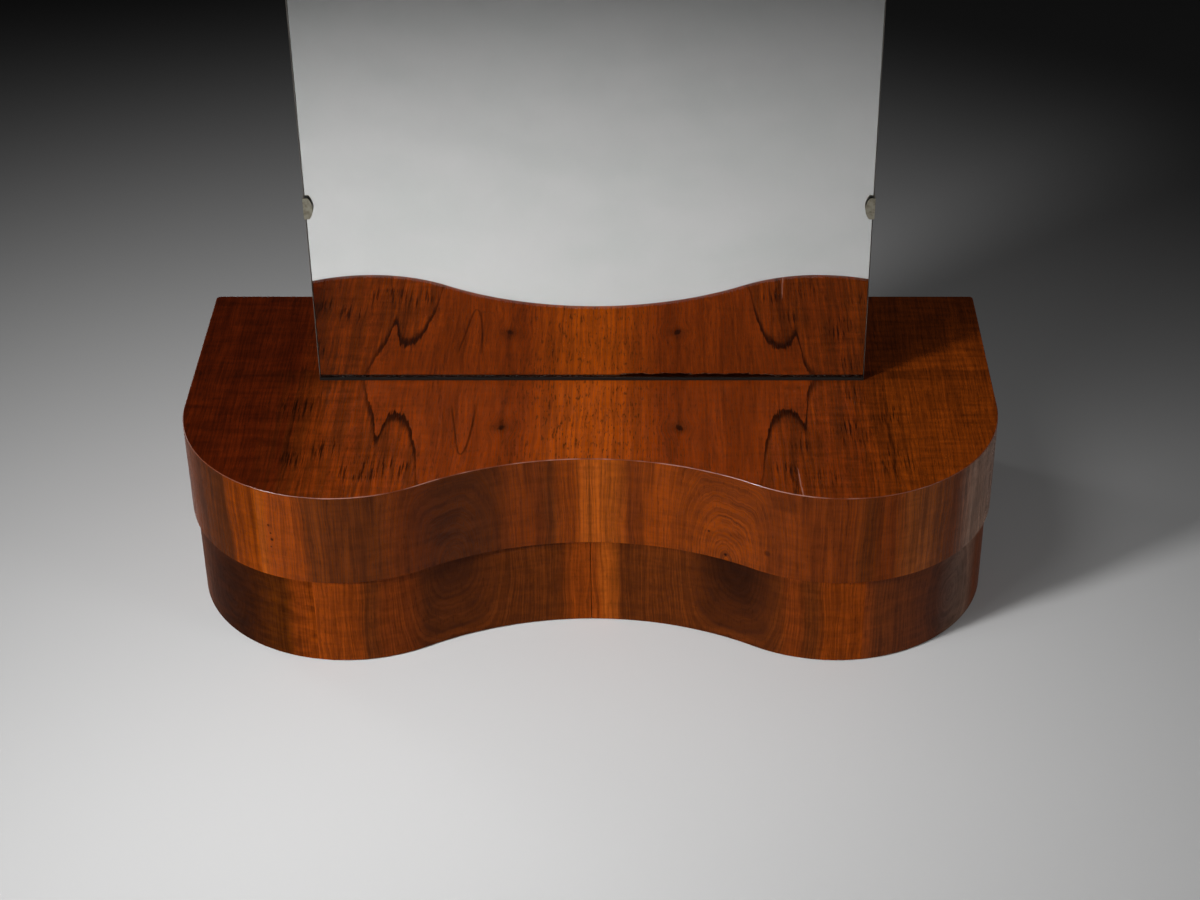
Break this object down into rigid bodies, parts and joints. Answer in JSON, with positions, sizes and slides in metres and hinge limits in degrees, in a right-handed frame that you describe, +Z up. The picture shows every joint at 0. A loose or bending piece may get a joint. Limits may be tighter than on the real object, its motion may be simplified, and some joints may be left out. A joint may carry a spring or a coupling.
{
  "type": "dressing mirror with drawer base",
  "caption": "Floor-standing dressing mirror: tall frameless glass on a low two-tier walnut base with a wavy front, whose lower tier is split into sliding drawers.",
  "frame": {"origin": "on the floor under the middle of the base's outline", "axes": "+X to the right seen from the front, +Y to the back, +Z up"},
  "size_m": [1, 0.465, 1.646],
  "materials": {
    "top_walnut": "French-polished figured walnut veneer",
    "upper_walnut": "French-polished figured walnut veneer",
    "lower_walnut": "French-polished dark walnut veneer",
    "backing_walnut": "satin walnut-faced board",
    "core_wood": "bare poplar core",
    "drawer_wood": "waxed beech",
    "drawer_plywood": "waxed plywood",
    "runner_wood": "waxed beech",
    "silvered_glass": "silvered plate glass with ground edges",
    "nickel": "tarnished nickel plate",
    "screw_steel": "bright steel",
    "dark_felt": "black felt"
  },
  "bodies": {
    "case": {"top_veneer_left": "top_walnut", "upper_veneer_left_inner": "upper_walnut", "upper_veneer_left_outer": "upper_walnut", "upper_side_left": "core_wood", "plinth_side_left": "lower_walnut", "runners_left": "runner_wood", "mirror_clips_left": "nickel", "top_veneer_right": "top_walnut", "upper_veneer_right_inner": "upper_walnut", "upper_veneer_right_outer": "upper_walnut", "upper_side_right": "core_wood", "plinth_side_right": "lower_walnut", "runners_right": "runner_wood", "mirror_clips_right": "nickel", "upper_veneer_back": "upper_walnut", "top_board": "core_wood", "upper_front": "core_wood", "upper_back": "core_wood", "case_floor": "core_wood", "front_cleat": "core_wood", "rear_cleat": "core_wood", "glue_blocks": "core_wood", "centre_divider": "core_wood", "plinth_back": "lower_walnut", "drawer_stops": "runner_wood", "backing_panel": "backing_walnut", "mirror_glass": "silvered_glass", "glass_seat": "dark_felt", "cleat_screws": "screw_steel", "clip_screws": "nickel"},
    "drawer_left": {"drawer_left_veneer_inner": "lower_walnut", "drawer_left_veneer_outer": "lower_walnut", "drawer_left_front": "core_wood", "drawer_left_side_inner": "drawer_wood", "drawer_left_side_outer": "drawer_wood", "drawer_left_back": "drawer_wood", "drawer_left_bottom": "drawer_plywood"},
    "drawer_right": {"drawer_right_veneer_inner": "lower_walnut", "drawer_right_veneer_outer": "lower_walnut", "drawer_right_front": "core_wood", "drawer_right_side_inner": "drawer_wood", "drawer_right_side_outer": "drawer_wood", "drawer_right_back": "drawer_wood", "drawer_right_bottom": "drawer_plywood"}
  },
  "joints": [
    {"name": "drawer_left_slide", "type": "slide", "parent": "case", "child": "drawer_left", "axis": [0, -1, 0], "range_m": [0, 0.22]},
    {"name": "drawer_right_slide", "type": "slide", "parent": "case", "child": "drawer_right", "axis": [0, -1, 0], "range_m": [0, 0.22]}
  ]
}
